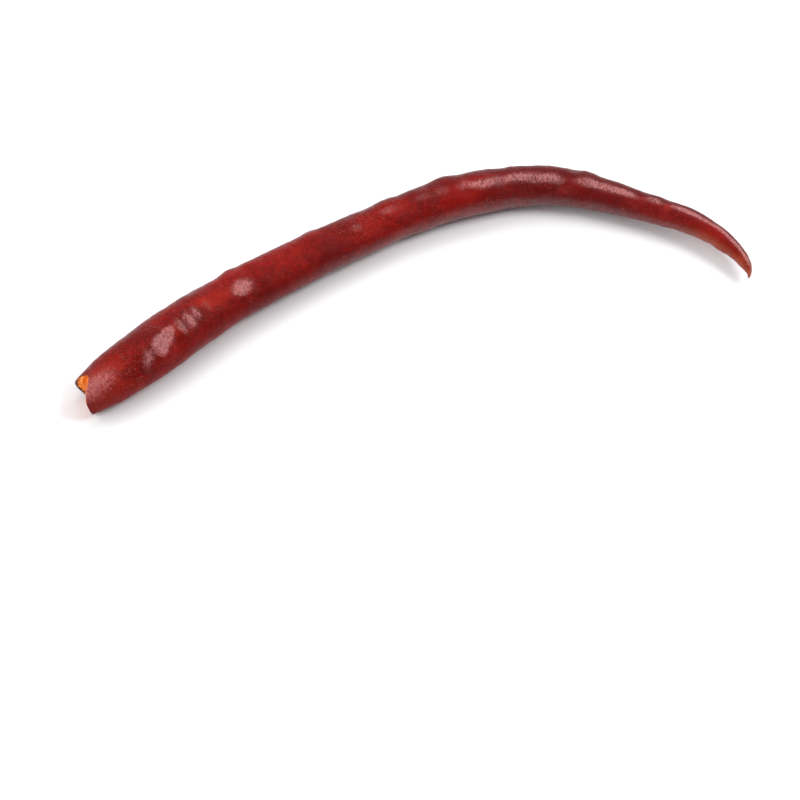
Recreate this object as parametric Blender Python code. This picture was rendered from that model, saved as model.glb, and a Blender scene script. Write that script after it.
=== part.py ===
"""A dried chilli pod lying on its side, as it comes once its stalk and calyx have been pulled off.

The fruit grew as one piece, so it is one solid. It is modelled straight, as a tapering tube along +X from
the torn mouth to the pointed tip, and a Curve modifier then bends it along its spine.

Metres, +Z up. The origin is at the centre of the pod's bounding box, on the surface that it rests on.
+X runs from the mouth to the tip, and +Y is the outer side of the bend.
"""

import math

import bmesh
import bpy

MM = 0.001

# The spine, seen from above, as points in mm that a smooth curve joins, from the middle of the mouth.
SPINE_MM = (
    (-60.5, -13.3),
    (-47.3, -7.1),
    (-34.3, -0.5),
    (-20.6, 4.5),
    (-6.5, 8.8),
    (7.7, 12.1),
    (17.5, 13.0),
    (27.2, 12.1),
    (36.4, 8.7),
    (45.0, 3.9),
    (53.2, -1.4),
    (58.3, -7.4),
    (60.8, -14.3),
)

# How thick the pod is: (share of the way from mouth to tip, radius in mm).
THICKNESS_MM = (
    (0.00, 3.60),
    (0.04, 4.30),
    (0.12, 4.75),
    (0.21, 4.30),
    (0.35, 4.05),
    (0.49, 3.85),
    (0.57, 4.10),
    (0.65, 3.70),
    (0.75, 3.30),
    (0.86, 2.50),
    (0.93, 1.75),
    (0.97, 1.15),
    (1.00, 0.40),
)

# The underside is pressed flat where the pod rests, by this share of its radius.
PRESSED_SHARE = 0.035

# The last part of the pod curls clear of the surface.
CURL_START = 0.72
CURL_HEIGHT = 2.4 * MM
CURL_POWER = 1.7

# The mouth is torn on a slant and pinched, and its hollow tapers to a blunt end inside.
MOUTH_SLANT = 0.28
MOUTH_HEIGHT_SHARE = 0.86
MOUTH_PINCH_REACH = 0.05
WALL = 0.8 * MM
HOLLOW_DEPTH = 4.5 * MM
HOLLOW_END_SHARE = 0.45
HOLLOW_STEPS = 2

# Rings crowd together towards both ends, where the shape changes fastest, by this share of an even step.
RINGS = 56
RING_CROWDING = 0.6
SIDES = 20
CURVE_RESOLUTION = 24

SKIN_COLOUR = (0.24, 0.011, 0.009, 1.0)
SKIN_ROUGHNESS = 0.38


def clear_scene():
    for obj in list(bpy.data.objects):
        bpy.data.objects.remove(obj)


def smooth_between(rows, along):
    """The value at `along` on a smooth line through rows of (place, value)."""
    places = [row[0] for row in rows]
    values = [row[1] for row in rows]
    last = len(rows) - 1
    here = max(i for i in range(last) if places[i] <= along or i == 0)

    def slope(i):
        before, after = max(i - 1, 0), min(i + 1, last)
        return (values[after] - values[before]) / (places[after] - places[before])

    width = places[here + 1] - places[here]
    t = (along - places[here]) / width
    start, end = values[here], values[here + 1]
    return (
        start * (2 * t**3 - 3 * t**2 + 1)
        + slope(here) * width * (t**3 - 2 * t**2 + t)
        + end * (3 * t**2 - 2 * t**3)
        + slope(here + 1) * width * (t**3 - t**2)
    )


def radius_at(share):
    return smooth_between(THICKNESS_MM, share) * MM


def curl_at(share):
    """How far the underside stands clear of the surface."""
    past = max(0.0, share - CURL_START) / (1 - CURL_START)
    return CURL_HEIGHT * past**CURL_POWER


def height_share_at(share):
    """Height over width: the mouth is a little pinched, and the pod rounds out behind it."""
    past = min(1.0, share / MOUTH_PINCH_REACH)
    return MOUTH_HEIGHT_SHARE + (1 - MOUTH_HEIGHT_SHARE) * past


def make_spine_guide():
    """The planar curve that the pod bends along. It lies on the surface, at Z 0."""
    curve = bpy.data.curves.new("spine_guide", "CURVE")
    curve.dimensions = "3D"
    curve.twist_mode = "Z_UP"
    curve.resolution_u = CURVE_RESOLUTION
    spline = curve.splines.new("BEZIER")
    spline.bezier_points.add(len(SPINE_MM) - 1)
    for point, (x, y) in zip(spline.bezier_points, SPINE_MM):
        point.co = (x * MM, y * MM, 0)
        point.handle_left_type = "AUTO"
        point.handle_right_type = "AUTO"
    guide = bpy.data.objects.new("spine_guide", curve)
    guide.hide_render = True
    guide.display_type = "WIRE"
    bpy.context.scene.collection.objects.link(guide)
    return guide


def add_ring(mesh, along, radius, height_share, centre_z, floor_z, slant=0.0):
    """A closed loop of points across the straight pod, cut off flat at floor_z."""
    ring = []
    for side in range(SIDES):
        # Half a step round puts a whole side, and not a corner, underneath.
        angle = 2 * math.pi * (side + 0.5) / SIDES - math.pi / 2
        across = radius * math.cos(angle)
        z = max(centre_z + radius * height_share * math.sin(angle), floor_z)
        ring.append(mesh.verts.new((along + slant * across, across, z)))
    return ring


def join_rings(mesh, first, second):
    for side in range(SIDES):
        after = (side + 1) % SIDES
        mesh.faces.new((first[side], second[side], second[after], first[after]))


def add_skin(mesh, length):
    """The outside, from the mouth to the closed tip. Returns the ring round the mouth."""
    rings = []
    for i in range(RINGS + 1):
        even = i / RINGS
        share = even - RING_CROWDING * math.sin(2 * math.pi * even) / (2 * math.pi)
        radius, curl = radius_at(share), curl_at(share)
        height_share = height_share_at(share)
        centre_z = curl + radius * height_share * (1 - PRESSED_SHARE)
        slant = MOUTH_SLANT * max(0.0, 1 - share / MOUTH_PINCH_REACH)
        rings.append(add_ring(mesh, share * length, radius, height_share, centre_z, curl, slant))
    for first, second in zip(rings, rings[1:]):
        join_rings(mesh, first, second)
    mesh.faces.new(rings[-1])
    return rings[0]


def add_hollow(mesh, mouth):
    """The torn edge of the wall, and the hollow behind it down to its closed end."""
    rim_radius = radius_at(0)
    centre_z = rim_radius * MOUTH_HEIGHT_SHARE * (1 - PRESSED_SHARE)
    rings = [mouth]
    for step in range(HOLLOW_STEPS + 1):
        depth_share = step / HOLLOW_STEPS
        depth = HOLLOW_DEPTH * depth_share
        radius = (rim_radius - WALL) * (1 - (1 - HOLLOW_END_SHARE) * depth_share**2)
        rings.append(add_ring(mesh, depth, radius, MOUTH_HEIGHT_SHARE, centre_z, WALL, MOUTH_SLANT))
    for outer, inner in zip(rings, rings[1:]):
        join_rings(mesh, inner, outer)
    mesh.faces.new(reversed(rings[-1]))


def make_pod_mesh(length):
    """The straight pod, one closed surface: its skin and the hollow behind its mouth."""
    mesh = bmesh.new()
    mouth = add_skin(mesh, length)
    add_hollow(mesh, mouth)
    bmesh.ops.recalc_face_normals(mesh, faces=mesh.faces)
    data = bpy.data.meshes.new("chilli_pod")
    mesh.to_mesh(data)
    mesh.free()
    return data


def make_skin_material():
    material = bpy.data.materials.new("chilli_skin")
    material.use_nodes = True
    shader = material.node_tree.nodes["Principled BSDF"]
    shader.inputs["Base Color"].default_value = SKIN_COLOUR
    shader.inputs["Roughness"].default_value = SKIN_ROUGHNESS
    shader.inputs["Metallic"].default_value = 0.0
    return material


def make_pod(guide):
    length = guide.data.splines[0].calc_length()
    pod = bpy.data.objects.new("chilli_pod", make_pod_mesh(length))
    bpy.context.scene.collection.objects.link(pod)
    pod.data.materials.append(make_skin_material())
    pod.data.shade_smooth()
    bend = pod.modifiers.new("bend_along_spine", "CURVE")
    bend.object = guide
    bend.deform_axis = "POS_X"
    return pod


def main():
    clear_scene()
    make_pod(make_spine_guide())


main()
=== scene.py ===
import math

import bpy
import numpy as np
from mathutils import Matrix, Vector


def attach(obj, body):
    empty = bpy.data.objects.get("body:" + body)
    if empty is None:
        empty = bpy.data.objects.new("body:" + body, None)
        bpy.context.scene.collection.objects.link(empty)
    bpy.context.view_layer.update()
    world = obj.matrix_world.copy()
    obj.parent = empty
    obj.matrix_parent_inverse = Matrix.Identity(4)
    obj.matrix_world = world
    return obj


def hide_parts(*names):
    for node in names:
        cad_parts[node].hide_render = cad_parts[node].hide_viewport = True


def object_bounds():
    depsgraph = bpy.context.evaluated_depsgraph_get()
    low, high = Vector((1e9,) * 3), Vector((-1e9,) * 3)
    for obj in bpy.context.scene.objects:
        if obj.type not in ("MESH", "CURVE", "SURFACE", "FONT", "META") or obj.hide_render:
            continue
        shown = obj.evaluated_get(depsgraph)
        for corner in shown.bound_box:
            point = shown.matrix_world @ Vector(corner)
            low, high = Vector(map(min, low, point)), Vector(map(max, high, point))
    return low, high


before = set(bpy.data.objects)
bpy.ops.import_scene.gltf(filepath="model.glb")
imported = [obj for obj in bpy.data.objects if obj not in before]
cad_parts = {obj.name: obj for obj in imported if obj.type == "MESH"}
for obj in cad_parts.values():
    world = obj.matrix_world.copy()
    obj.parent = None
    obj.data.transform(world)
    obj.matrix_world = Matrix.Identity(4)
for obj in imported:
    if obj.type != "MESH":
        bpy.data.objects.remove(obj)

cad_low, cad_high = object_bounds()
MM = 0.001

# ------------------------------------------------------------------ camera
# A long lens looks down on the pod from the inner side of its bend, with the mouth at the lower left and
# the tip on the right. It is aimed in front of the pod, so the pod is in the upper half of the view.

CAMERA_LENS = 150
CAMERA_DISTANCE = 0.5848
CAMERA_ELEVATION = math.radians(60)
CAMERA_AZIMUTH = math.radians(-12.74)
VIEW_POINT = Vector((-6.9 * MM, cad_low.y - 9.65 * MM, 4.5 * MM))

towards_camera = Vector((
    math.sin(CAMERA_AZIMUTH) * math.cos(CAMERA_ELEVATION),
    -math.cos(CAMERA_AZIMUTH) * math.cos(CAMERA_ELEVATION),
    math.sin(CAMERA_ELEVATION),
))
bpy.ops.object.camera_add(location=VIEW_POINT + towards_camera * CAMERA_DISTANCE)
camera = bpy.context.object
camera.name = "camera"
camera.rotation_euler = towards_camera.to_track_quat("Z", "Y").to_euler()
camera.data.lens = CAMERA_LENS
camera.data.clip_start = 0.01
bpy.context.scene.camera = camera


# ------------------------------------------------------------------ floor
# The plain white table that the pod lies on. It is far wider than the pod, so its edge is never seen.

FLOOR_SIZE = 4.0
FLOOR_GAP = 0.05 * MM
FLOOR_WHITE = (0.86, 0.86, 0.87, 1)

bpy.ops.object.select_all(action="DESELECT")
bpy.ops.mesh.primitive_plane_add(size=FLOOR_SIZE, location=(0, 0, -FLOOR_GAP))
floor = bpy.context.object
floor.name = "white_table"
white_table = bpy.data.materials.new("white_table")
white_table.use_nodes = True
table_shader = white_table.node_tree.nodes["Principled BSDF"]
table_shader.inputs["Base Color"].default_value = FLOOR_WHITE
table_shader.inputs["Roughness"].default_value = 0.9
table_shader.inputs["Specular IOR Level"].default_value = 0.1
floor.data.materials.append(white_table)


# ------------------------------------------------------------------ softboxes
# Five softboxes, on the left, overhead, on the right, behind and past the tip, a wide white backdrop, and a
# dim room. Each light is given by the direction that it shines from, turned with the camera, by its
# distance from the pod and its size in metres, and by its brightness.

ROOM_GREY = (0.10, 0.10, 0.11, 1)
# (name, direction as right, away and up, distance, width, height, brightness)
SOFTBOXES = (
    ("left_softbox", (-0.80, -0.06, 0.60), 0.9, 1.30, 1.00, 2.0),
    ("top_softbox", (-0.05, 0.10, 1.00), 0.9, 1.00, 0.90, 0.8),
    ("right_softbox", (0.68, 0.02, 0.73), 0.9, 0.38, 0.34, 11.5),
    ("back_softbox", (0.10, 0.60, 0.79), 0.9, 0.44, 0.50, 3.6),
    ("tip_softbox", (0.64, 0.64, 0.43), 0.9, 0.40, 0.26, 7.8),
    ("white_backdrop", (0.0, 1.0, 0.25), 1.3, 2.4, 0.8, 0.7),
)

camera_right = Vector((math.cos(CAMERA_AZIMUTH), math.sin(CAMERA_AZIMUTH), 0))
camera_away = Vector((-math.sin(CAMERA_AZIMUTH), math.cos(CAMERA_AZIMUTH), 0))
for name, (right, away, up), distance, width, height, brightness in SOFTBOXES:
    direction = (camera_right * right + camera_away * away + Vector((0, 0, up))).normalized()
    bpy.ops.object.light_add(type="AREA", location=direction * distance)
    softbox = bpy.context.object
    softbox.name = name
    softbox.rotation_euler = direction.to_track_quat("Z", "Y").to_euler()
    softbox.data.shape = "RECTANGLE"
    softbox.data.size = width
    softbox.data.size_y = height
    softbox.data.energy = brightness * math.pi * width * height

room = bpy.data.worlds.new("dim_room")
room.use_nodes = True
room.node_tree.nodes["Background"].inputs["Color"].default_value = ROOM_GREY
room.node_tree.nodes["Background"].inputs["Strength"].default_value = 1.0
bpy.context.scene.world = room
bpy.context.scene.view_settings.view_transform = "Standard"


# ------------------------------------------------------------------ the pod's form
# One grown piece: a thin, leathery wall round air, tapering from the torn mouth to a pointed tip. It is
# shaped straight, ring by ring, then dried and wrinkled, and last bent along its spine like the CAD solid.

SPINE_MM = (
    (-60.5, -13.2),
    (-47.4, -6.9),
    (-34.4, -0.3),
    (-20.7, 4.75),
    (-6.6, 9.15),
    (7.7, 12.5),
    (17.5, 13.4),
    (27.3, 12.55),
    (36.6, 9.15),
    (45.0, 4.2),
    (52.9, -1.3),
    (58.3, -7.55),
    (61.2, -14.2),
)
# (mm along from the mouth, radius in mm)
THICKNESS_MM = (
    (0, 3.45),
    (5, 4.30),
    (10, 4.60),
    (17, 4.80),
    (24, 4.66),
    (30, 4.40),
    (38, 4.34),
    (46, 4.12),
    (58, 3.98),
    (66, 3.85),
    (74, 3.95),
    (81, 4.02),
    (90, 3.68),
    (100, 3.42),
    (110, 2.78),
    (120, 2.40),
    (127, 1.90),
    (131, 1.48),
    (134, 1.22),
    (138, 0.70),
)
# Lying down, the pod has dried a little wider than it is high.
WIDTH_GAIN = 1.06
HEIGHT_GAIN = 0.96
PRESSED_SHARE = 0.035
# The tip end curls up off the table, slowly at first.
CURL_START_MM = 82
CURL_HEIGHT_MM = 2.4
CURL_POWER = 1.7
SIDES = 16
RING_STEP_MM = 2.4
# The tip ends in a small dried hook: (distance back from the end, radius, shift to the inner side), in mm.
TIP_HOOK_MM = (
    (3.6, 1.14, 0.00),
    (2.7, 1.00, 0.02),
    (1.9, 0.84, 0.08),
    (1.25, 0.66, 0.20),
    (0.75, 0.52, 0.34),
    (0.35, 0.42, 0.64),
    (0.08, 0.30, 0.94),
)
HOOK_POINT_MM = (0.08, -0.08, 0)

bpy.ops.object.select_all(action="DESELECT")
bpy.ops.curve.primitive_bezier_curve_add()
spine_guide = bpy.context.object
spine_guide.name = "spine_guide"
spine_guide.data.twist_mode = "Z_UP"
spine_guide.data.resolution_u = 24
spine_guide.location = (0, 0, 0)
spine = spine_guide.data.splines[0]
spine.bezier_points.add(len(SPINE_MM) - len(spine.bezier_points))
for point, (x, y) in zip(spine.bezier_points, SPINE_MM):
    point.co = (x * MM, y * MM, 0)
    point.handle_left_type = "AUTO"
    point.handle_right_type = "AUTO"
length_mm = spine.calc_length() / MM


def smooth_between(rows, along):
    """The value at `along` on a smooth line through rows of (place, value)."""
    places = [row[0] for row in rows]
    values = [row[1] for row in rows]
    last = len(rows) - 1
    here = max(i for i in range(last) if places[i] <= along or i == 0)

    def slope(i):
        before, after = max(i - 1, 0), min(i + 1, last)
        return (values[after] - values[before]) / (places[after] - places[before])

    width = places[here + 1] - places[here]
    t = (along - places[here]) / width
    start, end = values[here], values[here + 1]
    return (
        start * (2 * t**3 - 3 * t**2 + 1)
        + slope(here) * width * (t**3 - 2 * t**2 + t)
        + end * (3 * t**2 - 2 * t**3)
        + slope(here + 1) * width * (t**3 - t**2)
    )


def centre_height_mm(along, radius):
    """How high the middle of the straight pod is: it rests on its underside, and its tip curls clear."""
    past = max(0.0, along - CURL_START_MM) / (length_mm - CURL_START_MM)
    return CURL_HEIGHT_MM * past**CURL_POWER + radius * (1 - PRESSED_SHARE)


tip_start_mm = length_mm - TIP_HOOK_MM[0][0]
ring_count = round(tip_start_mm / RING_STEP_MM)
ring_places = [tip_start_mm * i / ring_count for i in range(ring_count)]
rings = [(along, smooth_between(THICKNESS_MM, along), 0) for along in ring_places]
rings += [(length_mm - back, radius, shift) for back, radius, shift in TIP_HOOK_MM]

# A subdivided ring of this many sides is a little smaller than the ring itself, so each starts larger.
RING_GAIN = 3 / (2 + math.cos(2 * math.pi / SIDES))

bpy.ops.object.select_all(action="DESELECT")
along, radius, shift = rings[0]
height = centre_height_mm(along, radius)
bpy.ops.mesh.primitive_circle_add(
    vertices=SIDES,
    radius=radius * RING_GAIN * MM,
    location=(0, 0, height * MM),
    rotation=(0, math.pi / 2, 0),
)
pod = bpy.context.object
pod.name = "dried_chilli_pod"
bpy.ops.object.transform_apply(location=True, rotation=True, scale=True)
bpy.ops.object.mode_set(mode="EDIT")
bpy.ops.mesh.select_all(action="SELECT")
for next_along, next_radius, next_shift in rings[1:]:
    next_height = centre_height_mm(next_along, next_radius)
    move = (next_along - along, shift - next_shift, next_height - height)
    bpy.ops.mesh.extrude_region_move(TRANSFORM_OT_translate={"value": [v * MM for v in move]})
    grow = next_radius / radius
    centre = (next_along * MM, -next_shift * MM, next_height * MM)
    bpy.ops.transform.resize(value=(1, grow, grow), center_override=centre)
    along, radius, shift, height = next_along, next_radius, next_shift, next_height
bpy.ops.mesh.extrude_region_move(TRANSFORM_OT_translate={"value": [v * MM for v in HOOK_POINT_MM]})
bpy.ops.mesh.merge(type="CENTER")
bpy.ops.mesh.select_all(action="SELECT")
bpy.ops.mesh.normals_make_consistent(inside=False)
bpy.ops.transform.resize(value=(1, WIDTH_GAIN, HEIGHT_GAIN), center_override=(0, 0, 0))
bpy.ops.object.mode_set(mode="OBJECT")


def smoothed(piece, levels):
    """Rounds the piece with a Subdivision Surface, and applies it."""
    bpy.ops.object.modifier_add(type="SUBSURF")
    rounding = piece.modifiers[-1]
    rounding.levels = rounding.render_levels = levels
    bpy.ops.object.modifier_apply(modifier=rounding.name)


def points_of(piece):
    """The piece's points in mm, one row each."""
    points = np.zeros(len(piece.data.vertices) * 3)
    piece.data.vertices.foreach_get("co", points)
    return points.reshape(-1, 3) / MM


def select_points(piece, chosen):
    """Selects these points, one flag each, and nothing else, and leaves the piece in edit mode."""
    bpy.ops.object.mode_set(mode="EDIT")
    bpy.ops.mesh.select_mode(type="VERT")
    bpy.ops.mesh.select_all(action="DESELECT")
    bpy.ops.object.mode_set(mode="OBJECT")
    piece.data.vertices.foreach_set("select", chosen)
    bpy.ops.object.mode_set(mode="EDIT")


def place_on_pod(points):
    """How far along the straight pod each point is, in mm, and its angle round it: 0 on top, + outside."""
    along = np.clip(points[:, 0], 0, length_mm)
    knots = np.linspace(0, length_mm, 300)
    middles = np.interp(along, knots, [
        centre_height_mm(knot, smooth_between(THICKNESS_MM, knot)) for knot in knots
    ])
    return points[:, 0], np.degrees(np.arctan2(points[:, 1], points[:, 2] - middles))


def on_rim(piece):
    """One flag for each point: whether it lies on the piece's open edge."""
    open_edge = np.zeros(len(piece.data.vertices), bool)
    uses = {}
    for face in piece.data.polygons:
        for key in face.edge_keys:
            uses[key] = uses.get(key, 0) + 1
    for key, count in uses.items():
        if count == 1:
            open_edge[list(key)] = True
    return open_edge


# The mouth is torn on a slant: its near half is pinched shut, with the near wall lapped over the far one.
# (angle round the rim, move towards the tip, outwards and up, in mm)
MOUTH_RIM = (
    (90, (0.0, 0, 0.5)),
    (67.5, (1.0, 0, 0)),
    (45, (1.8, 0, 0)),
    (22.5, (1.4, 0, 0)),
    (0, (0.7, 0.1, 0.2)),
    (-22.5, (-0.4, 0.5, 0.1)),
    (-45, (-1.0, 0.9, 0)),
    (-67.5, (-1.3, 1.2, 0)),
    (-90, (-1.1, 1.0, 0)),
    (-112.5, (-0.9, 0.5, 0)),
    (-135, (-0.2, 0.3, 0.1)),
    (-157.5, (0.1, 0, 0.3)),
    (180, (1.0, 0, 0.2)),
    (157.5, (1.0, -0.1, 0.5)),
    (135, (0.1, 0, 0.8)),
    (112.5, (0.2, 0, 0.3)),
)
SECOND_RING_SHARE = 0.35
RIM_ANGLE_REACH = 11
RIM_PLACE_REACH_MM = 1.15
for rim_angle, move in MOUTH_RIM:
    for ring_place, share in zip(ring_places, (1, SECOND_RING_SHARE)):
        along, angle = place_on_pod(points_of(pod))
        beside = abs((angle - rim_angle + 180) % 360 - 180) < RIM_ANGLE_REACH
        select_points(pod, beside & (abs(along - ring_place) < RIM_PLACE_REACH_MM))
        bpy.ops.transform.translate(value=[v * share * MM for v in move])
        bpy.ops.object.mode_set(mode="OBJECT")

smoothed(pod, 2)

# Where the drying wall has puckered: folds that run part of the way round, standing proud or sunk in.
# (mm along, first and last angle, rise in mm, reach in mm)
PUCKERS = (
    # the blistered shoulder behind the mouth
    (11.4, -50, -15, 0.22, 2.0),
    (15.4, -52, 2, 0.42, 2.6),
    (18.0, -50, 10, -0.30, 1.6),
    (19.9, -40, 5, 0.24, 1.1),
    (20.9, -30, 5, -0.14, 0.9),
    (21.9, -40, 8, 0.26, 1.1),
    (22.8, -30, 5, -0.14, 0.9),
    (23.7, -30, 10, 0.24, 1.0),
    (26.2, -20, 5, 0.14, 1.2),
    (33.6, -36, 50, 0.42, 2.6),
    (36.4, -40, 20, -0.34, 1.7),
    # the long middle
    (45.1, -30, -5, 0.16, 2.6),
    (49.6, 20, 60, 0.20, 3.0),
    (53.6, -30, 20, -0.18, 2.4),
    (57.6, -12, 10, 0.26, 2.2),
    (61.1, 5, 60, -0.16, 1.8),
    (65.6, -10, 60, 0.30, 3.0),
    (68.4, -20, 40, -0.18, 2.2),
    (71.8, -14, 12, 0.20, 2.4),
    (76.6, -10, 60, 0.26, 3.2),
    (79.6, -20, 60, -0.16, 1.8),
    # the crown of the bend and the kink past it
    (82.5, -18, 8, 0.34, 3.0),
    (87.0, 0, 60, -0.14, 2.0),
    (91.0, -6, 14, 0.22, 3.0),
    (95.0, -6, 16, 0.20, 2.4),
    (98.2, -35, 10, -0.55, 1.7),
    (99.2, 10, 50, -0.42, 1.5),
    (101.6, -10, 60, 0.38, 3.0),
    (106.0, -10, 20, 0.08, 3.4),
    (111.6, -30, 10, -0.26, 1.7),
    (112.8, 10, 50, -0.22, 1.5),
    (115.2, -5, 40, 0.14, 2.2),
    (117.6, -30, 50, -0.22, 1.6),
    (121.5, -10, 40, 0.14, 3.0),
)
FOLD_HALF_WIDTH_MM = 0.32

for middle, first_angle, last_angle, rise, reach in PUCKERS:
    along, angle = place_on_pod(points_of(pod))
    chosen = (abs(along - middle) < FOLD_HALF_WIDTH_MM) & (angle >= first_angle) & (angle <= last_angle)
    select_points(pod, chosen)
    bpy.ops.transform.shrink_fatten(
        value=rise * MM,
        use_proportional_edit=True,
        proportional_edit_falloff="SMOOTH",
        proportional_size=reach * MM,
    )
    bpy.ops.object.mode_set(mode="OBJECT")

# Panels where the wall has dried flat over the hollow inside, each tipped a little towards the tip end.
# (mm along, angle, degrees tipped, half length in mm, half angle, how far in from round, in mm)
PANELS = (
    (11.5, -32, 6, 1.2, 22, 0.20),
    (15.7, -25, 7, 2.1, 28, 0.42),
    (33.8, -18, 7, 1.8, 20, 0.30),
    (57.6, -8, 6, 1.4, 12, 0.16),
    (64.8, 4, 6, 1.4, 14, 0.18),
    (71.8, 2, 5, 1.6, 13, 0.16),
    (75.4, 2, 5, 1.5, 13, 0.16),
    (80.0, -4, 3, 1.3, 14, 0.16),
    (83.0, -7, 3, 1.5, 16, 0.22),
)
PANEL_BULGE_LEFT = 0.12
PANEL_EDGE_MM = 0.9
for middle, middle_angle, tipped, half_length, half_angle, sunk in PANELS:
    along, angle = place_on_pod(points_of(pod))
    reach = ((along - middle) / half_length) ** 2 + ((angle - middle_angle) / half_angle) ** 2
    radius = smooth_between(THICKNESS_MM, middle)
    lean, turn = math.radians(tipped), math.radians(middle_angle)
    facing = Vector((math.sin(lean), math.cos(lean) * math.sin(turn), math.cos(lean) * math.cos(turn)))
    centre = Vector((middle, 0, centre_height_mm(middle, radius))) + facing * (radius - sunk)
    select_points(pod, reach < 1)
    bpy.ops.transform.resize(
        value=(1, 1, PANEL_BULGE_LEFT),
        orient_type="GLOBAL",
        orient_matrix=facing.to_track_quat("Z", "Y").to_matrix(),
        orient_matrix_type="GLOBAL",
        center_override=centre * MM,
        use_proportional_edit=True,
        proportional_edit_falloff="SMOOTH",
        proportional_size=PANEL_EDGE_MM * MM,
    )
    bpy.ops.object.mode_set(mode="OBJECT")

smoothed(pod, 1)

# Drying shrinks the skin everywhere: slow swells, then creases that run round it more than along it.
# (size of the folds in mm, stretch along and round, depth in mm)
CREASES = (
    ("slow_swells", 9.0, (1.3, 1.0), 0.42),
    ("small_swells", 3.6, (0.9, 1.3), 0.27),
    ("fine_creases", 1.3, (0.7, 1.5), 0.09),
)
CREASE_LEVEL = 0.6
for name, fold, (stretch_along, stretch_round), depth in CREASES:
    bpy.ops.object.empty_add()
    stretch = bpy.context.object
    stretch.scale = (stretch_along, stretch_round, stretch_round)
    bpy.context.view_layer.objects.active = pod
    bpy.context.view_layer.update()
    folds = bpy.data.textures.new(name, "CLOUDS")
    folds.noise_scale = fold * MM
    folds.noise_depth = 1
    bpy.ops.object.modifier_add(type="DISPLACE")
    drying = pod.modifiers[-1]
    drying.texture = folds
    drying.texture_coords = "OBJECT"
    drying.texture_coords_object = stretch
    drying.strength = depth * MM
    drying.mid_level = CREASE_LEVEL
    bpy.ops.object.modifier_apply(modifier=drying.name)
    bpy.data.objects.remove(stretch)

# The wall's torn edge turns in, and its inside runs back from the mouth to where it can't be seen.
# (mm further in, size left)
HOLLOW_STEPS = ((0.10, 0.86), (0.25, 0.93), (0.5, 0.94), (0.6, 0.84), (0.5, 0.62))
HOLLOW_END_MM = 0.3
HOLLOW_CENTRE = (0, 1.2 * MM, 4.8 * MM)
skin_points = len(pod.data.vertices)
rim = on_rim(pod)
rim_points = int(rim.sum())
select_points(pod, rim)
for further_in, size_left in HOLLOW_STEPS:
    bpy.ops.mesh.extrude_region_move(TRANSFORM_OT_translate={"value": (further_in * MM, 0, 0)})
    bpy.ops.transform.resize(value=(1, size_left, size_left), center_override=HOLLOW_CENTRE)
bpy.ops.mesh.extrude_region_move(TRANSFORM_OT_translate={"value": (HOLLOW_END_MM * MM, 0, 0)})
bpy.ops.mesh.merge(type="CENTER")
bpy.ops.object.mode_set(mode="OBJECT")

# Where the pod rests, its underside is pressed flat.
select_points(pod, points_of(pod)[:, 2] < 0)
bpy.ops.transform.resize(value=(1, 1, 0), center_override=(0, 0, 0))
bpy.ops.object.mode_set(mode="OBJECT")

# The skin's patterns follow the straight pod, so each point keeps its place on it, in mm, before the bend.
straight = points_of(pod)
place = pod.data.attributes.new("straight_place", "FLOAT_VECTOR", "POINT")
place.data.foreach_set("vector", straight.ravel())
inside = np.arange(len(straight)) >= skin_points
torn = pod.data.attributes.new("torn", "FLOAT", "POINT")
torn.data.foreach_set("value", inside.astype(float))


def bent(piece):
    """Bends a straight piece along the pod's spine, and shades it smooth."""
    bpy.ops.object.select_all(action="DESELECT")
    piece.select_set(True)
    bpy.context.view_layer.objects.active = piece
    bpy.ops.object.modifier_add(type="CURVE")
    bend = piece.modifiers[-1]
    bend.object = spine_guide
    bend.deform_axis = "POS_X"
    bpy.ops.object.modifier_apply(modifier=bend.name)
    bpy.ops.object.shade_smooth()


# The lining starts as a copy of the hollow's inside, taken before the pod is bent. The pinched part of the
# rim, which reaches out furthest, has none.
LINING_START_MM = -0.3
hollow = np.arange(len(straight)) >= skin_points + rim_points
select_points(pod, hollow & (straight[:, 0] > LINING_START_MM))
bpy.ops.mesh.duplicate()
bpy.ops.mesh.separate(type="SELECTED")
bpy.ops.object.mode_set(mode="OBJECT")
lining = next(piece for piece in bpy.context.selected_objects if piece != pod)

bent(pod)
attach(pod, "root")
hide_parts("chilli_pod")


# ------------------------------------------------------------------ the mouth's lining
# Dried orange pith on the inside of the wall, left where the stalk tore out: soft, lumpy and full of small
# pores. It grew on the wall, so it follows it, and it needs nothing else to hold it.

PITH_THICKNESS = 0.55 * MM
PITH_OFFSET = 0.2
PITH_GRAIN = 0.11 * MM
# (size of the lumps in mm, height in mm)
PITH_LUMPS = (("pith_lumps", 0.9, 0.7), ("pith_pores", 0.32, 0.35))

bpy.ops.object.select_all(action="DESELECT")
lining.select_set(True)
bpy.context.view_layer.objects.active = lining
lining.name = "mouth_lining"
lining.data.attributes.remove(lining.data.attributes["torn"])
bpy.ops.object.modifier_add(type="SOLIDIFY")
thickening = lining.modifiers[-1]
thickening.thickness = PITH_THICKNESS
thickening.offset = PITH_OFFSET
bpy.ops.object.modifier_apply(modifier=thickening.name)
bpy.ops.object.modifier_add(type="REMESH")
closing = lining.modifiers[-1]
closing.mode = "VOXEL"
closing.voxel_size = PITH_GRAIN
bpy.ops.object.modifier_apply(modifier=closing.name)
for name, lump, height in PITH_LUMPS:
    lumps = bpy.data.textures.new(name, "CLOUDS")
    lumps.noise_scale = lump * MM
    lumps.noise_depth = 2
    bpy.ops.object.modifier_add(type="DISPLACE")
    swelling = lining.modifiers[-1]
    swelling.texture = lumps
    swelling.texture_coords = "LOCAL"
    swelling.strength = height * MM
    swelling.mid_level = 0.5
    bpy.ops.object.modifier_apply(modifier=swelling.name)
pith_place = lining.data.attributes.new("straight_place", "FLOAT_VECTOR", "POINT")
pith_place.data.foreach_set("vector", points_of(lining).ravel())
bent(lining)
bpy.data.objects.remove(spine_guide)

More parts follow.
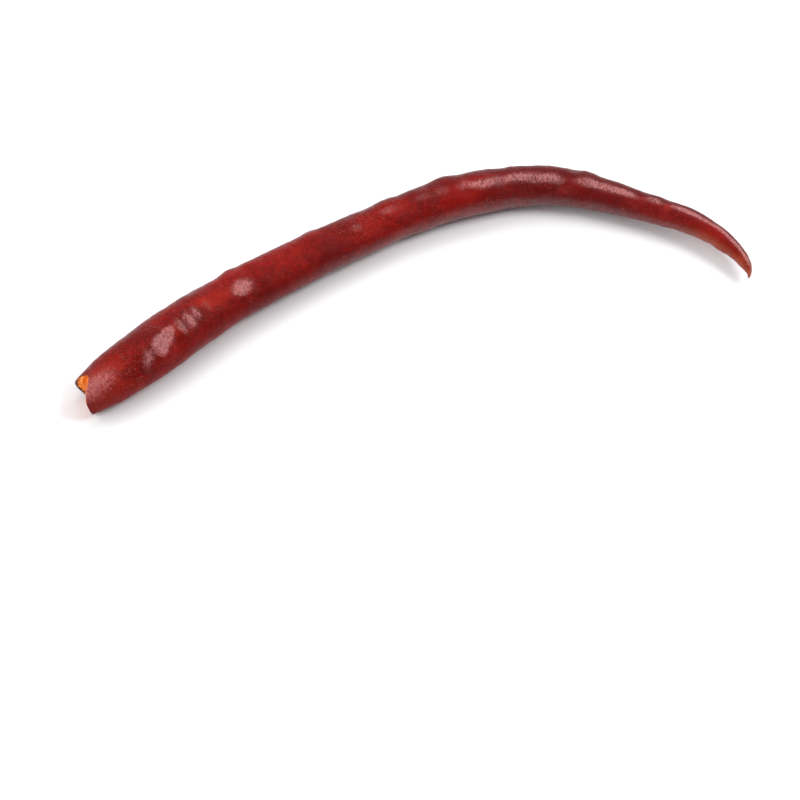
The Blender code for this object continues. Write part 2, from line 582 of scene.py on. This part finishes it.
ORANGE = (1.00, 0.240, 0.020, 1)
PALE_ORANGE = (1.00, 0.470, 0.130, 1)
DEEP_ORANGE = (0.560, 0.090, 0.012, 1)
PORE_DEPTH = 0.08 * MM

pith = bpy.data.materials.new("dried_orange_pith")
pith.use_nodes = True
nodes = pith.node_tree.nodes
links = pith.node_tree.links
shader = nodes["Principled BSDF"]


def painted_layer(name, output="Fac"):
    """A value that is stored on the piece's points."""
    layer = nodes.new("ShaderNodeAttribute")
    layer.attribute_name = name
    return layer.outputs[output]


def grain(size, stretch=(1, 1, 1), detail=3.0, seed=0.0):
    """Soft cloudy noise about 0.5, with lumps of this size in mm, stretched along, across and up."""
    mapping = nodes.new("ShaderNodeMapping")
    mapping.inputs["Location"].default_value = (seed, seed * 0.7, seed * 1.3)
    mapping.inputs["Scale"].default_value = [1 / (size * s) for s in stretch]
    links.new(straight_place, mapping.inputs["Vector"])
    noise = nodes.new("ShaderNodeTexNoise")
    noise.inputs["Scale"].default_value = 1.0
    noise.inputs["Detail"].default_value = detail
    noise.inputs["Roughness"].default_value = 0.6
    links.new(mapping.outputs["Vector"], noise.inputs["Vector"])
    return noise.outputs["Fac"]


def between(value, low_end, high_end):
    """0 up to low_end, 1 from high_end on, and smooth between."""
    step = nodes.new("ShaderNodeMapRange")
    step.interpolation_type = "SMOOTHSTEP"
    step.inputs["From Min"].default_value = low_end
    step.inputs["From Max"].default_value = high_end
    links.new(value, step.inputs["Value"])
    return step.outputs["Result"]


def worked(operation, first, second):
    """One step of sums on two values, either of which may be a plain number."""
    maths = nodes.new("ShaderNodeMath")
    maths.operation = operation
    for socket, value in zip(maths.inputs, (first, second)):
        if isinstance(value, (int, float)):
            socket.default_value = value
        else:
            links.new(value, socket)
    return maths.outputs["Value"]


def tinted(amount, under, colour):
    """Lays a colour over another, by an amount from 0 to 1."""
    mix = nodes.new("ShaderNodeMix")
    mix.data_type = "RGBA"
    links.new(amount, mix.inputs["Factor"])
    if isinstance(under, tuple):
        mix.inputs["A"].default_value = under
    else:
        links.new(under, mix.inputs["A"])
    mix.inputs["B"].default_value = colour
    return mix.outputs["Result"]


straight_place = painted_layer("straight_place", "Vector")
colour = tinted(between(grain(0.45, seed=2), 0.40, 0.62), ORANGE, PALE_ORANGE)
colour = tinted(between(grain(0.35, seed=8), 0.56, 0.70), colour, DEEP_ORANGE)
links.new(colour, shader.inputs["Base Color"])
shader.inputs["Roughness"].default_value = 0.7
shader.inputs["Specular IOR Level"].default_value = 0.2
pore_bump = nodes.new("ShaderNodeBump")
pore_bump.inputs["Distance"].default_value = PORE_DEPTH
links.new(grain(0.18, seed=4), pore_bump.inputs["Height"])
links.new(pore_bump.outputs["Normal"], shader.inputs["Normal"])
lining.data.materials.append(pith)

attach(lining, "root")


# ------------------------------------------------------------------ the pod's skin
# Thin, leathery, waxy skin, deep red, with brighter and browner patches, fine tan flecks and cracks, and a
# paler bloom where blisters stand proud. Painted into its colour are highlights on the blisters, the crown
# and the tip, shade down its far side, and a warm reflection of the floor under the tip.

# Painted highlights where the blisters, the crown and the top of the tip catch the lamps, with the paler
# bloom of their dry, loose outer skin.
# (mm along, angle, half length in mm, half angle, amount)
BLOOMS_AND_HIGHLIGHTS = (
    (1.0, -20, 4.4, 36, 1.00),
    (10.9, -48, 0.9, 14, 0.70),
    (12.2, -36, 0.9, 14, 0.75),
    (14.6, -42, 1.1, 13, 1.25),
    (15.6, -28, 2.2, 13, 1.35),
    (16.2, -18, 2.1, 11, 1.25),
    (17.8, -12, 1.1, 11, 1.25),
    (20.0, -22, 0.7, 20, 0.85),
    (22.0, -22, 0.9, 22, 1.00),
    (23.8, -14, 0.6, 18, 0.90),
    (26.3, -14, 0.5, 14, 0.40),
    (33.7, -19, 2.0, 19, 1.15),
    (57.8, -10, 1.2, 10, 0.45),
    (64.8, 2, 1.6, 13, 0.55),
    (71.5, -1, 1.6, 12, 0.40),
    (75.0, -3, 1.6, 14, 0.40),
    (79.8, -5, 1.6, 14, 0.65),
    (82.8, -12, 2.0, 15, 0.90),
    (86.2, -6, 2.4, 18, 0.65),
    (89.2, -2, 1.8, 17, 0.70),
    (92.4, -8, 2.8, 18, 0.85),
    (96.0, -8, 2.0, 18, 0.85),
    (102.4, -4, 2.4, 18, 0.90),
    (106.4, -3, 2.8, 18, 0.90),
    (109.8, 2, 2.2, 16, 0.85),
    (114.8, 8, 1.7, 16, 0.80),
    (120.2, 11, 2.4, 16, 0.95),
    (123.8, 16, 2.4, 14, 0.95),
    (128.2, 22, 3.0, 15, 1.00),
    (132.4, 24, 2.4, 18, 1.05),
    (135.6, 26, 1.8, 22, 1.00),
)
# Where the red is livelier (+) or browner (-), in the same terms. The livelier patch just behind the mouth
# is partly a painted highlight, and the one under the tip is a painted warm reflection of the floor.
TINTS = (
    (0.0, 122, 1.3, 62, -1.0),
    (3.0, -30, 6.0, 80, 0.6),
    (8.4, -42, 2.0, 14, -0.6),
    (19.0, -18, 1.0, 30, 0.45),
    (25.0, 10, 2.0, 16, 0.4),
    (28.6, -10, 3.6, 26, 0.6),
    (45.0, -30, 6.0, 34, 0.3),
    (57.0, -40, 5.0, 26, 0.3),
    (99.2, 0, 0.9, 30, 0.3),
    (101.0, -32, 2.0, 18, 0.4),
    (112.8, -10, 1.4, 24, -0.4),
    (117.6, 0, 1.0, 34, 0.7),
    (131.0, -50, 6.0, 40, 0.4),
)
# Where the skin is stretched smooth and shines: down both sides of the pod, in the same terms.
GLOSSY_SIDES = (
    (68.0, 96, 95.0, 40, 0.9),
    (97.0, -104, 54.0, 44, 1.0),
)
# Where the flecks are thickest, where the red has darkened to maroon or is painted darker as shade down the
# far side, where the tip has dried orange or is painted with a warm reflection of the floor beneath it, and
# the little corky stub at its end.
FLECKED = (
    (5.0, -35, 10.0, 60, 1.0),
    (25.0, 0, 5.0, 40, 0.5),
    (60.5, 5, 7.0, 40, 1.0),
)
# Painted shade: the two rows on the far side (+ angles) darken it where it turns away from the lamps. The
# middle row darkens the red past the crown.
MAROON_AND_FAR_SIDE_SHADE = (
    (50.0, 64, 50.0, 22, 0.6),
    (101.0, -20, 17.0, 120, 0.6),
    (104.0, 46, 40.0, 26, 1.0),
)
# The row under the tip is a painted warm reflection of the floor; the row at the end is the tip's own
# orange.
ORANGE_TIP_AND_BOUNCE = (
    (130.0, -100, 9.0, 50, 0.8),
    (136.0, 0, 2.2, 400, 0.5),
)
STUB = ((139.0, 0, 1.0, 900, 1.0),)
EDGE_FADE = 0.7


def painted(name, places):
    """Stores on the pod how strongly each of these places covers each point, fading out past its edge."""
    along, angle = place_on_pod(straight)
    amount = np.zeros(len(along))
    for middle, middle_angle, half_length, half_angle, strength in places:
        turned = (angle - middle_angle + 180) % 360 - 180
        reach = ((along - middle) / half_length) ** 2 + (turned / half_angle) ** 2
        amount += strength * np.exp(-(reach**2) * EDGE_FADE)
    layer = pod.data.attributes.new(name, "FLOAT", "POINT")
    layer.data.foreach_set("value", np.clip(amount, -1, 1))


painted("bloom_and_highlight", BLOOMS_AND_HIGHLIGHTS)
painted("tint", TINTS)
painted("gloss", BLOOMS_AND_HIGHLIGHTS + GLOSSY_SIDES)
painted("flecked", FLECKED)
painted("maroon_and_far_side_shade", MAROON_AND_FAR_SIDE_SHADE)
painted("orange_tip_and_bounce", ORANGE_TIP_AND_BOUNCE)
painted("stub", STUB)

skin = bpy.data.materials.new("dried_chilli_skin")
skin.use_nodes = True
nodes = skin.node_tree.nodes
links = skin.node_tree.links
shader = nodes["Principled BSDF"]

DEEP_RED = (0.112, 0.0024, 0.0020, 1)
RED = (0.236, 0.0040, 0.0016, 1)
LIVELY_RED = (0.310, 0.0120, 0.0045, 1)
MAROON_AND_SHADE = (0.085, 0.0026, 0.0030, 1)
BROWN = (0.085, 0.0120, 0.0060, 1)
HIGHLIGHT_AND_BLOOM_PINK = (0.580, 0.1720, 0.1650, 1)
FLECK_TAN = (0.420, 0.1250, 0.0850, 1)
TIP_ORANGE_AND_BOUNCE = (0.420, 0.0800, 0.0280, 1)
STUB_TAN = (0.330, 0.2200, 0.1400, 1)
TORN_ORANGE = (0.90, 0.280, 0.060, 1)
MAROON_AND_SHADE_STRENGTH = 0.90
HIGHLIGHT_AND_BLOOM_STRENGTH = 0.48
FLECK_STRENGTH = 0.32
FLECKED_STRENGTH = 0.34

straight_place = painted_layer("straight_place", "Vector")
tint = painted_layer("tint")

# The red is mottled, in slow clouds and in a fine grain.
slow_clouds = worked("MULTIPLY", grain(6.0, (1.6, 1, 1)), 0.5)
small_clouds = worked("MULTIPLY", grain(1.1, seed=17), 0.3)
fine_grain = worked("MULTIPLY", grain(0.32, (0.8, 1.5, 1.5), 2.0, seed=27), 0.35)
mottle = worked("ADD", worked("ADD", slow_clouds, small_clouds), fine_grain)
colour = tinted(between(mottle, 0.44, 0.72), DEEP_RED, RED)

# It is livelier, torn to the orange inside, browned or darkened to maroon in places. Part of the livelier
# red is painted light, and the maroon down the far side is painted shade.
lively = worked("ADD", tint, worked("MULTIPLY", grain(1.4, seed=5), 0.9))
colour = tinted(between(lively, 0.55, 1.5), colour, LIVELY_RED)
colour = tinted(between(painted_layer("torn"), 0.15, 0.6), colour, TORN_ORANGE)
browned = worked("SUBTRACT", worked("MULTIPLY", grain(1.2, seed=9), 0.9), tint)
colour = tinted(between(browned, 0.75, 1.5), colour, BROWN)
colour = tinted(worked("MULTIPLY", painted_layer("maroon_and_far_side_shade"), MAROON_AND_SHADE_STRENGTH), colour, MAROON_AND_SHADE)

# Flecks and short cracks in the outer skin come in loose clusters.
cluster = worked("MULTIPLY", between(grain(4.0, seed=21), 0.44, 0.66), FLECK_STRENGTH)
cluster = worked("ADD", cluster, worked("MULTIPLY", painted_layer("flecked"), FLECKED_STRENGTH))
fleck = between(grain(0.30, (1, 1, 1), 1.0, seed=3), 0.62, 0.72)
crack = between(grain(0.26, (0.55, 2.6, 2.6), 2.0, seed=14), 0.62, 0.70)
marks = worked("MULTIPLY", worked("MAXIMUM", fleck, crack), cluster)
colour = tinted(marks, colour, FLECK_TAN)

# The painted highlights and pale bloom on the blisters are broken up into streaks that run round the pod.
streaks = worked("MULTIPLY", grain(0.30, (0.8, 1.9, 1.9), 3.0, seed=31), 2.6)
streaky_highlight_and_bloom = between(worked("ADD", painted_layer("bloom_and_highlight"), streaks), 1.72, 2.62)
colour = tinted(worked("MULTIPLY", streaky_highlight_and_bloom, HIGHLIGHT_AND_BLOOM_STRENGTH), colour, HIGHLIGHT_AND_BLOOM_PINK)

# The tip dries orange in patches, down to the corky stub; under it the orange is a painted floor
# reflection.
orange_and_bounce_patches = worked("MULTIPLY", painted_layer("orange_tip_and_bounce"), grain(0.8, seed=70))
colour = tinted(orange_and_bounce_patches, colour, TIP_ORANGE_AND_BOUNCE)
colour = tinted(painted_layer("stub"), colour, STUB_TAN)
links.new(colour, shader.inputs["Base Color"])

# The skin is dull where it has wrinkled, and waxy and shiny where it is stretched smooth. A dusty sheen
# pales it wherever it turns away.
LEAST_ROUGHNESS = 0.42
ROUGHNESS_SPREAD = 0.14
THINNEST_WAX = 0.03
roughness = worked("ADD", LEAST_ROUGHNESS, worked("MULTIPLY", grain(1.6, seed=40), ROUGHNESS_SPREAD))
links.new(roughness, shader.inputs["Roughness"])
shader.inputs["IOR"].default_value = 1.5
shader.inputs["Specular IOR Level"].default_value = 0.06
worn = between(grain(0.28, (0.8, 1.6, 1.6), 3.0, seed=60), 0.33, 0.55)
wax = worked("ADD", THINNEST_WAX, worked("MULTIPLY", painted_layer("gloss"), worn))
links.new(wax, shader.inputs["Coat Weight"])
shader.inputs["Coat Roughness"].default_value = 0.24
shader.inputs["Coat IOR"].default_value = 1.5
shader.inputs["Sheen Weight"].default_value = 0.18
shader.inputs["Sheen Roughness"].default_value = 0.35
shader.inputs["Sheen Tint"].default_value = (0.90, 0.78, 0.78, 1)

# The finest wrinkles are only a bump, and the flecks and cracks sink into it.
WRINKLE_DEPTH = 0.14 * MM
wrinkles = grain(0.45, (0.7, 1.5, 1.5), 3.0, seed=50)
relief = worked("ADD", wrinkles, worked("MULTIPLY", grain(0.16, detail=2.0), 0.35))
relief = worked("SUBTRACT", relief, worked("MULTIPLY", marks, 0.5))
bump = nodes.new("ShaderNodeBump")
bump.inputs["Strength"].default_value = 1.0
bump.inputs["Distance"].default_value = WRINKLE_DEPTH
links.new(relief, bump.inputs["Height"])
links.new(bump.outputs["Normal"], shader.inputs["Normal"])
links.new(bump.outputs["Normal"], shader.inputs["Coat Normal"])
pod.data.materials.append(skin)
